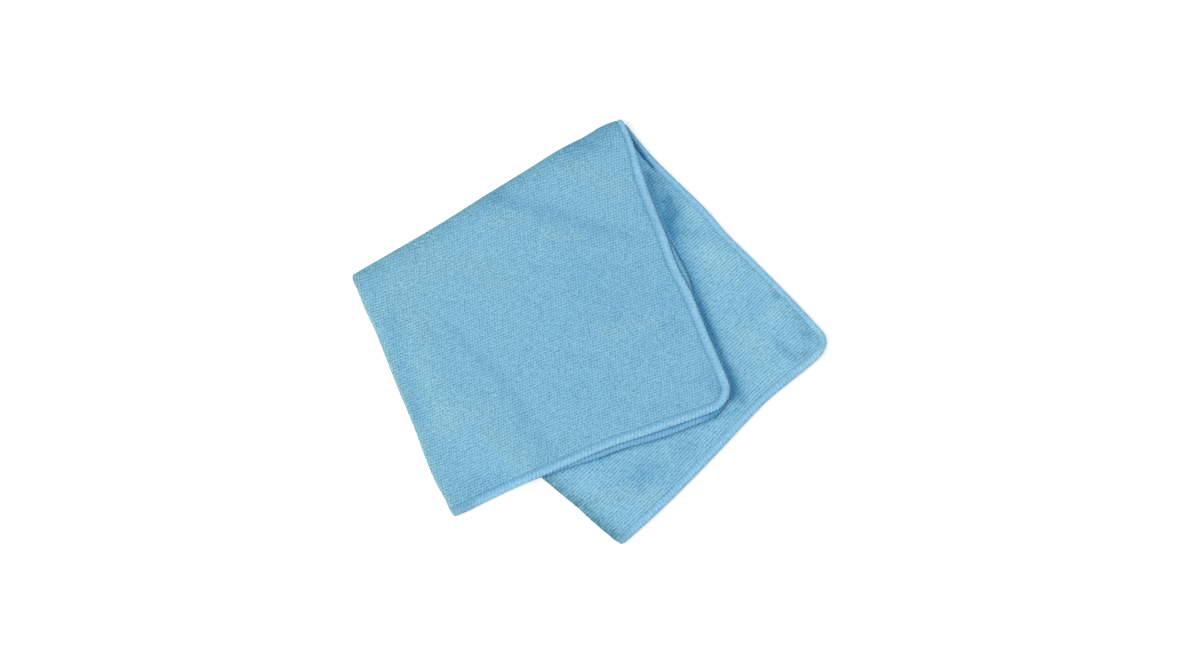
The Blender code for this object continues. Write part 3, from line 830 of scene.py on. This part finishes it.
def skin_tone(skin, u, v, place, points, upward, past_hem):
    """How much lighter and warmer a pile skin is at each of its mesh points."""
    upward = smooth_step(FOLD_SIDE_SHOWN + FOLD_SIDE_TURN * upward)
    lighter, warmer = skin.tone_at(points[:, 0], points[:, 1], upward)
    ruffled = 1 + RUFFLE * waviness(u, v, RUFFLE_SIZE, 24)
    from_fold = left_of(skin.shade.fold, place[:, 0], place[:, 1])
    shade = skin.shade.deep * ruffled * upward * fade(from_fold, skin.shade.reach)
    groove = GROOVE_SHADE * (v > fold_row(u)) * fade(past_hem - GROOVE_PLACE, GROOVE_REACH)
    return lighter - shade - groove + skin.knit.lighter, warmer + FOLD_SHADE_WARMTH * shade


def pile_skin(name, skin, u_range, material):
    """The looped pile over part of the cloth's front face, down into the hem at its edges."""
    u, v, faces = skin_grid(skin, u_range)
    place = lie(u, v)
    normal = facing(u, v)
    height = loops(u, v, skin.knit)
    past_hem = hem_distance(u, v) - hem_reach(u, v)
    pressed = PRESS_DEPTH * (1 - smooth_step((past_hem + PRESS_START) / PRESS_REACH))
    dip = SKIN_EDGE_DIP * (1 - smooth_step(skin.room(u, v) / SKIN_EDGE_REACH))
    out = PILE_HALF + SKIN_LIFT - skin.knit.depth * (1 - height) - pressed - dip
    points = above_table(place + normal * out[:, None])
    piece = new_piece(name, points, faces, material)
    flat_place = np.stack((u, v, np.zeros_like(u)), axis=1)
    store_look(piece, flat_place, height, *skin_tone(skin, u, v, place, points, normal[:, 2], past_hem))
    span = max(u.max() - u.min(), v.max() - v.min())
    store_bake_map(piece, np.stack((u - u.min(), v - v.min()), axis=1) / span)
    return piece


def round_corner(u, v):
    """Carry a square corner's grid onto a round one, keeping distances from the hem."""
    over_u = (np.abs(u) - (HALF_WIDTH - CORNER_RADIUS)) / CORNER_RADIUS
    over_v = (np.abs(v) - (HALF_LENGTH - CORNER_RADIUS)) / CORNER_RADIUS
    in_corner = (over_u > 0) & (over_v > 0)
    p = np.where(in_corner, over_u, 1.0)
    q = np.where(in_corner, over_v, 1.0)
    reach = np.maximum(p, q)
    angle = QUARTER_TURN * np.where(p >= q, q / p / 2, 1 - p / q / 2)
    round_u = HALF_WIDTH - CORNER_RADIUS + CORNER_RADIUS * reach * np.cos(angle)
    round_v = HALF_LENGTH - CORNER_RADIUS + CORNER_RADIUS * reach * np.sin(angle)
    u = np.where(in_corner, np.sign(u) * round_u, u)
    v = np.where(in_corner, np.sign(v) * round_v, v)
    return u, v


def rows_between(length, fold_rows, between):
    """Grid rows from a fold to the hem that is length away."""
    hem_rows = [length - row * MM for row in (CORNER_ROW,) + HEM_ROWS]
    near = [row * MM for row in fold_rows]
    step = (hem_rows[0] - near[-1]) / (between + 1)
    middle = [near[-1] + step * (k + 1) for k in range(between)]
    return near + middle + hem_rows


def flat_grid():
    """Points of the flat cloth, close together at folds and hems."""
    half = rows_between(HALF_WIDTH, FIRST_FOLD_ROWS, BETWEEN_ACROSS)
    columns = [-row for row in reversed(half)] + [0.0] + half
    u_rows = []
    v_rows = []
    for u in columns:
        fold = float(fold_row(u))
        upper = rows_between(HALF_LENGTH - fold, SECOND_FOLD_ROWS, BETWEEN_ALONG)
        lower = rows_between(HALF_LENGTH + fold, SECOND_FOLD_ROWS, BETWEEN_ALONG)
        line = [fold - row for row in reversed(lower)] + [fold] + [fold + row for row in upper]
        u_rows.append([u] * len(line))
        v_rows.append(line)
    return round_corner(np.array(u_rows), np.array(v_rows))


def grid_quads(grid):
    """What a grid holds at the four corners of each of its cells."""
    corners = (grid[:-1, :-1], grid[:-1, 1:], grid[1:, 1:], grid[1:, :-1])
    return np.stack([corner.ravel() for corner in corners], axis=1)


def rim_quads(front, back):
    """Faces that close the sheet round its rim."""
    def border(grid):
        return np.concatenate((grid[:-1, 0], grid[-1, :-1], grid[:0:-1, -1], grid[0, :0:-1]))

    near = border(front)
    far = border(back)
    return np.stack((near, np.roll(near, -1), np.roll(far, -1), far), axis=1)


def covered(room):
    """1 where a pile skin lies over the ground, easing off to 0 at the skin's border."""
    return smooth_step((room - COVER_START) / COVER_EASE)


def ground_sheet(material):
    """The whole cloth as a closed sheet, thinner under the pile skins and the hem."""
    u, v = flat_grid()
    u = u * (1 - HEM_INSET / HALF_WIDTH)
    v = v * (1 - HEM_INSET / HALF_LENGTH)
    middle = lie(u, v)
    normal = facing(u, v)
    under_skin = np.maximum(covered(upper_skin_room(u, v)), covered(lower_skin_room(u, v)))
    pile = smooth_step((hem_distance(u, v) - hem_reach(u, v) + PILE_EASE_START) / PILE_EASE)
    back_out = GROUND_HALF + (PILE_HALF - GROUND_HALF) * pile
    front_out = GROUND_HALF + (PILE_HALF - GROUND_HALF) * pile * (1 - under_skin)
    points = np.stack((middle + normal * front_out[..., None], middle - normal * back_out[..., None]))
    points = above_table(points)
    front, back = np.arange(points[..., 0].size).reshape(2, *u.shape)
    faces = np.concatenate((grid_quads(front), grid_quads(back)[:, ::-1], rim_quads(front, back)))
    piece = new_piece("folded_cloth", points.reshape(-1, 3), faces, material)
    flat_place = np.stack((u, v, np.zeros_like(u)), axis=-1).reshape(-1, 3)
    store_points(piece, "flat_place", "FLOAT_VECTOR", np.concatenate((flat_place, flat_place)))
    share = np.stack((u / (2 * HALF_WIDTH) + 0.5, v / (2 * HALF_LENGTH) + 0.5), axis=-1).reshape(-1, 2)
    on_map = share * (FACE_MAP_WIDTH, 1.0)
    store_bake_map(piece, np.concatenate((on_map, on_map + (BACK_MAP_START, 0.0))))
    return piece


def hem_line():
    """Stations round the flat cloth's edge: a point on it and the way inward."""
    across = HALF_WIDTH - CORNER_RADIUS
    along = HALF_LENGTH - CORNER_RADIUS
    arc = CORNER_RADIUS * QUARTER_TURN
    lengths = np.array((2 * along, arc, 2 * across, arc) * 2)
    ends = np.cumsum(lengths)
    total = ends[-1]
    count = round(total / THREAD_PITCH) * POINTS_PER_THREAD
    station = np.arange(count) * total / count
    stretch = np.searchsorted(ends, station, side="right")
    corner = stretch // 2
    straight = stretch % 2 == 0
    remaining = ends[stretch] - station
    turned = corner * QUARTER_TURN
    angle = turned + np.where(straight, 0.0, (arc - remaining) / CORNER_RADIUS)
    out_u = np.cos(angle)
    out_v = np.sin(angle)
    corner_u = np.array((across, -across, -across, across))[corner]
    corner_v = np.array((along, along, -along, -along))[corner]
    edge_u = corner_u + CORNER_RADIUS * out_u + straight * remaining * np.sin(turned)
    edge_v = corner_v + CORNER_RADIUS * out_v - straight * remaining * np.cos(turned)
    return station, total, edge_u, edge_v, -out_u, -out_v


Hem = namedtuple("Hem", "station edge_u edge_v in_u in_v threads bold width rough")


def laid_hem():
    """The hem's line, with its threads counted along it and its unevenness."""
    station, total, edge_u, edge_v, in_u, in_v = hem_line()
    uneven = waviness(station, np.zeros_like(station), HEM_UNEVEN_SIZE, 11)
    swell = waviness(station, np.zeros_like(station), HEM_SWELL_SIZE, 12)
    threads = station / total * round(total / THREAD_PITCH) + THREAD_STRAY * uneven
    bold = SIDE_THREAD_BOLDNESS + (1 - SIDE_THREAD_BOLDNESS) * at_end_hem(edge_u, edge_v)
    width = hem_reach(edge_u, edge_v) - HEM_INSET + HEM_UNEVEN_WIDTH * (swell + uneven)
    return Hem(station, edge_u, edge_v, in_u, in_v, threads, bold, width, swell + uneven)


def crown_of(hem, slant):
    """1 on top of a thread and 0 between two; a slant moves the threads along."""
    return 0.5 + hem.bold * (wave(hem.threads + slant) - 0.5)


def in_from_edge(hem, reach):
    """The flat cloth's points in from its edge, beside each station."""
    return hem.edge_u + hem.in_u * reach, hem.edge_v + hem.in_v * reach


def section_ring(hem, face, rib):
    """One line of mesh points along the hem's front or back."""
    crown = crown_of(hem, THREAD_SLANT * face * rib.inward)
    u, v = in_from_edge(hem, HEM_INSET + rib.inward * hem.width)
    off = rib.off * MM + (crown - 0.5) * THREAD_DEPTH + HEM_UNEVEN_HEIGHT * hem.rough
    return lie(u, v) + face * facing(u, v) * off[:, None], crown


def edge_ring(hem):
    """The line of mesh points round the cut edge itself."""
    crown = crown_of(hem, 0.0)
    edge = lie(*in_from_edge(hem, HEM_INSET))
    outward = edge - lie(*in_from_edge(hem, HEM_INSET + MM))
    outward = outward / np.linalg.norm(outward, axis=1, keepdims=True)
    return edge + outward * ((crown - 0.5) * THREAD_DEPTH + EDGE_THREAD_OUT)[:, None], crown


def hem_tone(hem, points, crowns, across):
    """How much lighter and warmer the hem is at each of its mesh points."""
    of_upper = smooth_step((hem.edge_v - fold_row(hem.edge_u)) / PAIR_CHANGE + 0.5)
    of_inner = of_upper * smooth_step(0.5 - hem.edge_u / LAYER_CHANGE)
    crest_at = HEM_CREST - UPPER_CREST_SHIFT * of_upper
    # the crest's painted highlight
    crest = fade(np.abs(across) - crest_at, HEM_CREST_SPREAD * crest_at - HEM_CREST_TRIM)
    at_edge = fade(across, HEM_EDGE_REACH)
    needle = wave(hem.threads) ** 2 * fade(np.abs(across) - 1.0, NEEDLE_REACH)
    # the upper pair's needle holes show twice as dark
    lighter = HEM_CREST_HIGHLIGHT * crest - HEM_SIDE_SHADE - NEEDLE_SHADE * (1 + of_upper) * needle
    lighter = lighter + HEM_EDGE_LIFT * at_edge * (1 - UNDER_HEM_EDGE_LOSS * of_inner)
    lighter = lighter + of_inner * (UNDER_HEM_LIFT + UNDER_HEM_RIBS * (crowns - 0.5))
    warmer = HEM_EDGE_WARMTH * at_edge + UNDER_HEM_WARMTH * of_inner
    parts = ((UPPER_HEM_TONES, of_upper), (LOWER_HEM_TONES, 1 - of_upper), (UNDER_HEM_TONES, of_inner))
    for tones, part in parts:
        part_lighter, part_warmer = tone_of(tones, points[..., 0], points[..., 1])
        lighter = lighter + part * part_lighter
        warmer = warmer + part * part_warmer
    return lighter, warmer


def overlock_hem(material):
    """Threads wrapped side by side round the cut edge, front and back."""
    hem = laid_hem()
    back_section = HEM_SECTION[::-1]
    rings = [section_ring(hem, 1, rib) for rib in HEM_SECTION]
    rings.append(edge_ring(hem))
    rings += [section_ring(hem, -1, rib) for rib in back_section]
    across = [rib.inward for rib in HEM_SECTION] + [0.0] + [-rib.inward for rib in back_section]
    points = above_table(np.stack([place for place, _ in rings]))
    crowns = np.stack([crown for _, crown in rings])
    across = np.broadcast_to(np.array(across)[:, None], crowns.shape)
    index = np.arange(crowns.size).reshape(crowns.shape)
    after = np.roll(index, -1, axis=1)
    below = np.roll(index, -1, axis=0)
    below_after = np.roll(after, -1, axis=0)
    faces = np.stack((index.ravel(), after.ravel(), below_after.ravel(), below.ravel()), axis=1)
    piece = new_piece("overlock_hem", points.reshape(-1, 3), faces, material)
    stations = np.broadcast_to(hem.station, crowns.shape)
    flat_place = np.stack((stations, across * hem.width, np.zeros_like(crowns)), axis=-1)
    store_look(piece, flat_place, crowns, *hem_tone(hem, points, crowns, across))
    store_hem_map(piece, *crowns.shape)
    return piece


def store_hem_map(piece, ring_count, count):
    """The long hem laid out in stacked strips, so that its bake keeps the threads."""
    layer = piece.data.uv_layers.new(name="OFBake")
    ring, column = np.divmod(np.arange(ring_count * count), count)
    corner_ring = np.stack((ring, ring, ring + 1, ring + 1), axis=1)
    corner_column = np.stack((column, column + 1, column + 1, column), axis=1)
    per_strip = count / HEM_MAP_STRIPS
    strip = np.floor(column / per_strip)[:, None]
    place_u = (corner_column - strip * per_strip) / (per_strip + 2)
    across = HEM_MAP_MARGIN + (1 - 2 * HEM_MAP_MARGIN) * corner_ring / ring_count
    place_v = (strip + across) / HEM_MAP_STRIPS
    layer.data.foreach_set("uv", np.stack((place_u, place_v), axis=-1).astype(np.float32).ravel())


# ---------------------------------------------------------------- the finishes

class Value:
    """A number that varies over a surface, so that shader maths reads as plain sums."""

    def __init__(self, finish, socket):
        self.finish = finish
        self.socket = socket

    def math(self, operation, *others):
        return self.finish.number("ShaderNodeMath", {"operation": operation}, self, *others)

    def __add__(self, other):
        return self.math("ADD", other)

    __radd__ = __add__

    def __mul__(self, other):
        return self.math("MULTIPLY", other)

    __rmul__ = __mul__

    def __sub__(self, other):
        return self.math("SUBTRACT", other)

    def __rsub__(self, other):
        return (self * -1.0) + other

    def clamped(self):
        return self.finish.number("ShaderNodeClamp", {}, self)


class Finish:
    """A material under construction."""

    def __init__(self, name, roughness):
        self.material = bpy.data.materials.new(name)
        self.material.use_nodes = True
        self.tree = self.material.node_tree
        self.shader = self.tree.nodes["Principled BSDF"]
        self.surface(Roughness=roughness)

    def node(self, kind, settings, *values, **named):
        """Add a node: settings first, then socket values or links, by order or by name."""
        node = self.tree.nodes.new(kind)
        for key, value in settings.items():
            setattr(node, key, value)
        self.fill(node, list(enumerate(values)) + list(named.items()))
        return node

    def number(self, kind, settings, *values, **named):
        return Value(self, self.node(kind, settings, *values, **named).outputs[0])

    def attribute(self, name, output):
        return Value(self, self.node("ShaderNodeAttribute", {"attribute_name": name}).outputs[output])

    def noise(self, place, size, detail=2.0, roughness=0.5):
        return self.number("ShaderNodeTexNoise", {"noise_dimensions": "3D"}, Vector=place,
                           Scale=1 / size, Detail=detail, Roughness=roughness)

    def blend(self, share, low, high, way="MIX"):
        node = self.node("ShaderNodeMix", {"data_type": "RGBA", "blend_type": way}, share)
        self.fill(node, ((6, low), (7, high)))
        return Value(self, node.outputs[2])

    def toned(self, colour, lighter, warmer):
        """The colour made lighter or deeper, and warmer or bluer."""
        colder = warmer * -1.0
        for share, tint in ((warmer, WARM_TINT), (colder, COOL_TINT), (lighter * -2.0, DEEP_TINT)):
            for part in (share, share - 1.0):
                colour = self.blend(part.clamped(), colour, tint, "MULTIPLY")
        return self.number("ShaderNodeVectorMath", {"operation": "SCALE"}, colour,
                           Scale=lighter.clamped() + 1.0)

    def bump(self, height, distance, strength):
        return self.number("ShaderNodeBump", {}, Strength=strength, Distance=distance, Height=height)

    def fill(self, node, inputs):
        """Give a node's inputs their values, or links to what varies."""
        for key, value in inputs:
            socket = node.inputs[key.replace("_", " ") if isinstance(key, str) else key]
            if isinstance(value, Value):
                self.tree.links.new(value.socket, socket)
            else:
                socket.default_value = value

    def surface(self, **inputs):
        self.fill(self.shader, inputs.items())


def rgb(red, green, blue):
    return (red, green, blue, 1.0)


# The pile's colours: darkest at the roots, with painted shade down between the loops
LOOP_TIP = rgb(0.280, 0.560, 0.735)
LOOP_SIDE = rgb(0.195, 0.430, 0.590)
LOOP_ROOT = rgb(0.095, 0.256, 0.376)
WARM_TINT = rgb(1.130, 1.030, 0.920)
COOL_TINT = rgb(0.760, 0.955, 1.040)
DEEP_TINT = rgb(0.300, 0.550, 0.690)   # what one more bounce inside the pile leaves
# Thread colours: painted shade down between the threads, lighter on their tops
THREAD_TOP = rgb(0.280, 0.520, 0.690)
THREAD_GAP = rgb(0.165, 0.395, 0.570)


def pile_colour(finish, shown):
    """From the roots, dark with painted shade down between the loops, over the sides of the loops, to
    their tips.
    """
    root_to_side = finish.blend((shown * 2.0).clamped(), LOOP_ROOT, LOOP_SIDE)
    return finish.blend((shown * 2.0 - 1.0).clamped(), root_to_side, LOOP_TIP)


def pile_finish():
    finish = Finish("looped_pile", 0.95)
    place = finish.attribute("flat_place", "Vector")
    height = finish.attribute("loop_height", "Fac")
    fibre = finish.noise(place, 0.35 * MM, 3.0, 0.65)
    clump = finish.noise(place, 5 * MM, 2.0)
    patch_tone = finish.noise(place, 24 * MM, 2.0)
    tone = finish.attribute("lighter", "Fac")
    speck = finish.noise(place, 1.1 * MM, 2.0, 0.6)
    shown = (height + (fibre - 0.5) * 0.7 + (speck - 0.5) * 1.5 + tone * 0.2).clamped()
    colour = pile_colour(finish, shown)
    warmer = finish.attribute("warmer", "Fac") + (patch_tone - 0.5) * 0.7 + (clump - 0.5) * 0.8
    lighter = tone * 0.9 + (clump - 0.5) * 0.08
    finish.surface(Base_Color=finish.toned(colour, lighter, warmer),
                   Normal=finish.bump(fibre + height * 0.4, 0.25 * MM, 0.7),
                   Sheen_Weight=0.08, Sheen_Roughness=0.5, Specular_IOR_Level=0.15)
    return finish.material


def ground_finish():
    finish = Finish("knitted_ground", 0.95)
    place = finish.attribute("flat_place", "Vector")
    cells = finish.number("ShaderNodeVectorMath", {"operation": "MULTIPLY"}, place,
                          (1 / LOOP_PITCH, 1 / BRUSHED.row_pitch, 0.0))
    gap = finish.number("ShaderNodeTexVoronoi", {"voronoi_dimensions": "2D"}, Vector=cells, Scale=1.0,
                        Randomness=0.5)
    fibre = finish.noise(place, 0.4 * MM, 3.0, 0.65)
    # painted shade down in the gaps between the loops
    shown = (1.05 - gap * 1.2 + (fibre - 0.5) * 0.5).clamped()
    finish.surface(Base_Color=pile_colour(finish, shown), Normal=finish.bump(shown, 0.5 * MM, 0.8),
                   Specular_IOR_Level=0.15)
    return finish.material


def thread_finish():
    finish = Finish("overlock_thread", 0.85)
    place = finish.attribute("flat_place", "Vector")
    thread = finish.attribute("loop_height", "Fac")
    strand = finish.noise(place, 0.4 * MM, 2.0, 0.6)
    fuzz = finish.noise(place, 2.0 * MM, 2.0, 0.7)
    tone = finish.noise(place, 12 * MM, 2.0)
    shown = (thread * 0.44 + strand * 0.55 + (fuzz - 0.5) * 2.6 + (tone - 0.5) * 0.2).clamped()
    lighter = finish.attribute("lighter", "Fac") + (tone - 0.5) * 0.1
    # darker between the threads, painted shade, with fuzz that differs at random
    colour = finish.blend(shown, THREAD_GAP, THREAD_TOP)
    finish.surface(Base_Color=finish.toned(colour, lighter, finish.attribute("warmer", "Fac")),
                   Normal=finish.bump(strand, 0.12 * MM, 0.6), Specular_IOR_Level=0.2)
    return finish.material


def floor_finish():
    finish = Finish("pale_table", 0.7)
    finish.surface(Base_Color=rgb(0.45, 0.45, 0.45), Emission_Color=rgb(1.0, 1.0, 1.0),
                   Emission_Strength=0.59, Specular_IOR_Level=0.1)
    return finish.material


# ---------------------------------------------------------------- the studio

PHOTO_WIDTH = 1181
METRES_PER_PIXEL = 0.641 * MM
CAMERA_HEIGHT = 2.4
CAMERA_OVER = (0.3 * MM, -0.3 * MM)
SCALE_HEIGHT = 6 * MM           # the photo's scale holds on the cloth, this high over the table
SENSOR_WIDTH = 36.0
TABLE_REACH = 4.0


def add_camera():
    camera = bpy.data.cameras.new("camera")
    camera.sensor_width = SENSOR_WIDTH
    camera.lens = SENSOR_WIDTH * CAMERA_HEIGHT / (PHOTO_WIDTH * METRES_PER_PIXEL)
    camera.clip_end = 20.0
    holder = add_object("camera", camera)
    holder.location = (*CAMERA_OVER, CAMERA_HEIGHT + SCALE_HEIGHT)
    bpy.context.scene.camera = holder


def add_softbox(name, place, size, power, tint):
    light = bpy.data.lights.new(name, "AREA")
    light.shape = "RECTANGLE"
    light.size = size
    light.size_y = size
    light.energy = power
    light.color = tint
    holder = add_object(name, light)
    holder.location = place
    x, y, z = place
    holder.rotation_euler = (math.atan2(math.hypot(x, y), z), 0.0, math.atan2(-y, -x) - QUARTER_TURN)


def add_table():
    corners = np.array(((-1, -1, 0), (1, -1, 0), (1, 1, 0), (-1, 1, 0))) * TABLE_REACH
    new_piece("table", corners, np.array(((0, 1, 2, 3),)), floor_finish())


def add_studio():
    scene = bpy.context.scene
    scene.view_settings.view_transform = "Standard"
    world = bpy.data.worlds.new("studio")
    world.use_nodes = True
    sky = world.node_tree.nodes["Background"]
    sky.inputs["Color"].default_value = rgb(0.95, 1.0, 1.05)
    sky.inputs["Strength"].default_value = 0.60
    scene.world = world
    add_softbox("key_softbox", place=(-1.3, 0.0, 2.3), size=1.7, power=54.0, tint=(1.05, 1.0, 0.95))
    add_table()


# A pile skin: the room inside its border, its knit, its rows along the cloth, its tone
# and the painted shade over its fold
Skin = namedtuple("Skin", "room knit v_range tone_at shade")
UPPER_SKIN = Skin(upper_skin_room, BRUSHED, (UPPER_SKIN_START, HALF_LENGTH), upper_tone, UPPER_SHADE)
LOWER_SKIN = Skin(lower_skin_room, COMBED, (-HALF_LENGTH, LOWER_SKIN_END), lower_tone, LOWER_SHADE)


def main():
    pile = pile_finish()
    cloth = ground_sheet(ground_finish())
    borders = (-FIRST_FOLD_WRAP,) + SKIN_SEAMS + (HALF_WIDTH,)
    trims = []
    for k, side in enumerate(("left", "middle", "right")):
        trims.append(pile_skin("pile_upper_" + side, UPPER_SKIN, borders[k:k + 2], pile))
    trims.append(pile_skin("pile_lower", LOWER_SKIN, (-HALF_WIDTH, FIRST_FOLD_WRAP), pile))
    trims.append(overlock_hem(thread_finish()))
    for piece in [cloth] + trims:
        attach(piece, "root")
        print(piece.name, sum(len(face.vertices) - 2 for face in piece.data.polygons), "triangles")
    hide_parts("cloth")
    add_camera()
    add_studio()


main()
